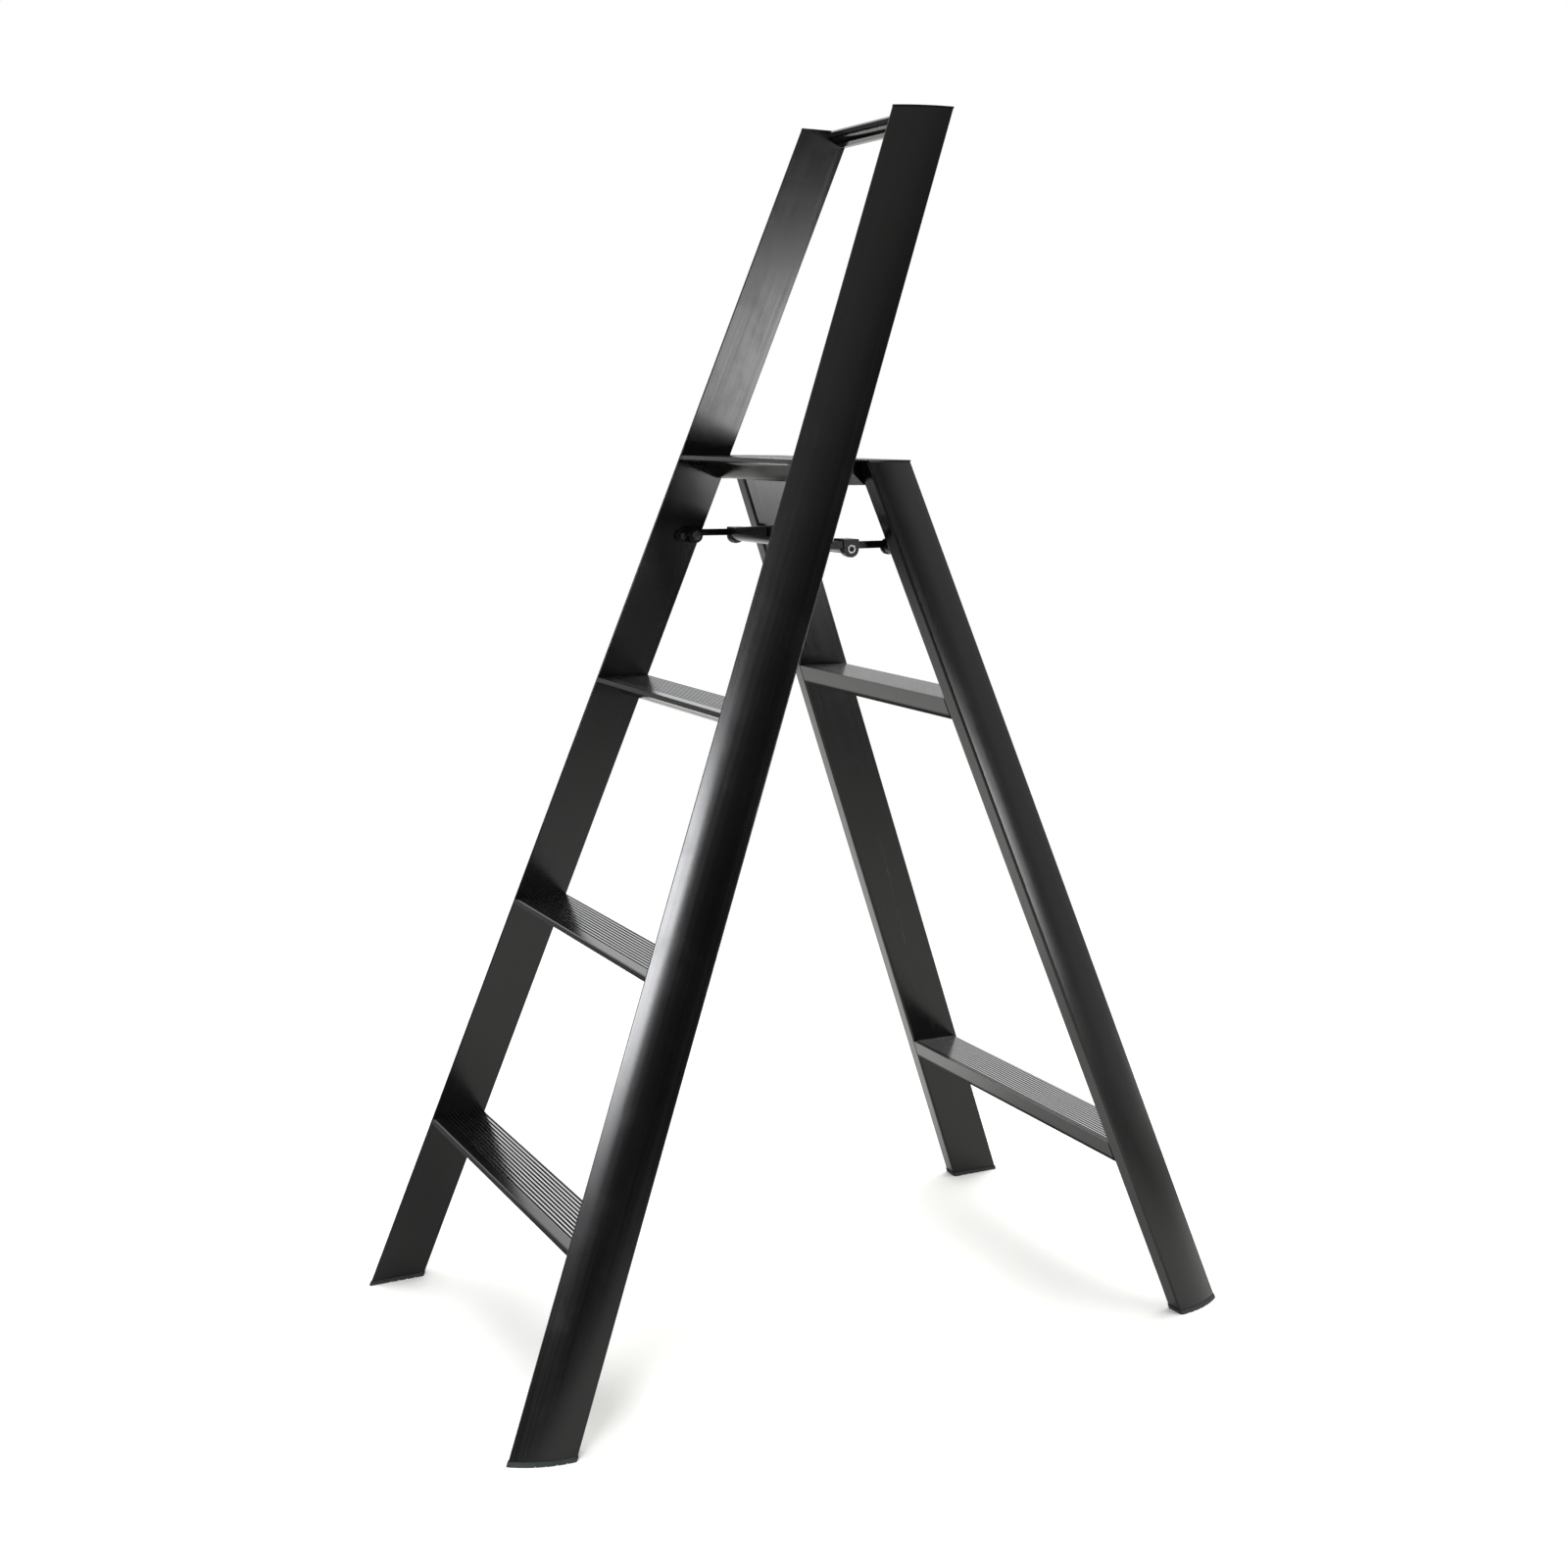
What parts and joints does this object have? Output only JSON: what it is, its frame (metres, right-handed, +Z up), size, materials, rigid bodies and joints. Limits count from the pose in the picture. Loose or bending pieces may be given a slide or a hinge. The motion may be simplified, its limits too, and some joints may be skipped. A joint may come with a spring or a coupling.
{
  "type": "library ladder",
  "caption": "Folding platform step ladder in satin black aluminium with tapering leaf-shaped stiles, grooved treads, a hand rail, a hinged rear frame and a folding stay.",
  "frame": {"origin": "on the floor, mid-width, at the middle of the footprint of the four feet, ladder standing open", "axes": "+Z up, -Y towards the climbing side, +Y towards the rear frame, +X across the width"},
  "size_m": [0.5256, 0.8736, 1.358],
  "materials": {
    "bush_nylon": "natural nylon",
    "die_cast": "raw die cast aluminium",
    "foot_rubber": "matt moulded rubber",
    "hinge_steel": "turned steel",
    "moulded_black": "fine moulded texture",
    "stay_steel": "black painted pressed steel",
    "stile_black_aluminium": "satin black anodised aluminium extrusion",
    "tread_black_aluminium": "satin black anodised aluminium extrusion with fine grooves",
    "zinc_steel": "bright zinc plated steel"
  },
  "bodies": {
    "front_frame": {"front_foot_left": "foot_rubber", "front_foot_right": "foot_rubber", "front_frame_rivets": "zinc_steel", "front_stile_cap_left": "moulded_black", "front_stile_cap_right": "moulded_black", "front_stile_left": "stile_black_aluminium", "front_stile_right": "stile_black_aluminium", "handle_bar": "stile_black_aluminium", "handle_plug_left": "moulded_black", "handle_plug_right": "moulded_black", "handle_screws": "zinc_steel", "hinge_pin_left": "hinge_steel", "hinge_pin_right": "hinge_steel", "platform": "tread_black_aluminium", "platform_bolts": "zinc_steel", "platform_end_cap_left": "moulded_black", "platform_end_cap_right": "moulded_black", "stay_bracket_front_left": "stay_steel", "stay_bracket_front_right": "stay_steel", "stay_pin_front_left": "zinc_steel", "stay_pin_front_right": "zinc_steel", "tread_1": "tread_black_aluminium", "tread_1_connector_left": "die_cast", "tread_1_connector_right": "die_cast", "tread_2": "tread_black_aluminium", "tread_2_connector_left": "die_cast", "tread_2_connector_right": "die_cast", "tread_3": "tread_black_aluminium", "tread_3_connector_left": "die_cast", "tread_3_connector_right": "die_cast", "tread_screws": "zinc_steel"},
    "rear_frame": {"hinge_bush_left": "bush_nylon", "hinge_bush_right": "bush_nylon", "rear_foot_left": "foot_rubber", "rear_foot_right": "foot_rubber", "rear_frame_rivets": "zinc_steel", "rear_hinge_cap_left": "moulded_black", "rear_hinge_cap_right": "moulded_black", "rear_rung_lower": "tread_black_aluminium", "rear_rung_lower_connector_left": "die_cast", "rear_rung_lower_connector_right": "die_cast", "rear_rung_upper": "tread_black_aluminium", "rear_rung_upper_connector_left": "die_cast", "rear_rung_upper_connector_right": "die_cast", "rear_stile_left": "stile_black_aluminium", "rear_stile_right": "stile_black_aluminium", "stay_bracket_rear_left": "stay_steel", "stay_bracket_rear_right": "stay_steel"},
    "stay_front": {"knee_pin_left": "zinc_steel", "knee_pin_right": "zinc_steel", "lock_bar": "tread_black_aluminium", "lock_bar_grip": "moulded_black", "lock_bar_plug_left": "moulded_black", "lock_bar_plug_right": "moulded_black", "stay_arm_front_left": "stay_steel", "stay_arm_front_right": "stay_steel"},
    "stay_rear": {"stay_arm_rear_left": "stay_steel", "stay_arm_rear_right": "stay_steel", "stay_pin_rear_left": "zinc_steel", "stay_pin_rear_right": "zinc_steel"}
  },
  "joints": [
    {"name": "rear_fold", "type": "hinge", "parent": "front_frame", "child": "rear_frame", "pos_m": [0, 0.011, 0.962], "axis": [-1, 0, 0], "range_deg": [0, 41]},
    {"name": "stay_front_pivot", "type": "hinge", "parent": "front_frame", "child": "stay_front", "pos_m": [0, -0.064, 0.884], "axis": [1, 0, 0], "range_deg": [0, 65.98]},
    {"name": "stay_knee", "type": "hinge", "parent": "stay_front", "child": "stay_rear", "pos_m": [0, -0.0122, 0.883], "axis": [-1, 0, 0], "range_deg": [0, 131.46]}
  ],
  "couplings": [
    {"joint": "stay_front_pivot", "follows": "rear_fold", "ratio": 1.6081},
    {"joint": "stay_knee", "follows": "rear_fold", "ratio": 3.2052}
  ]
}
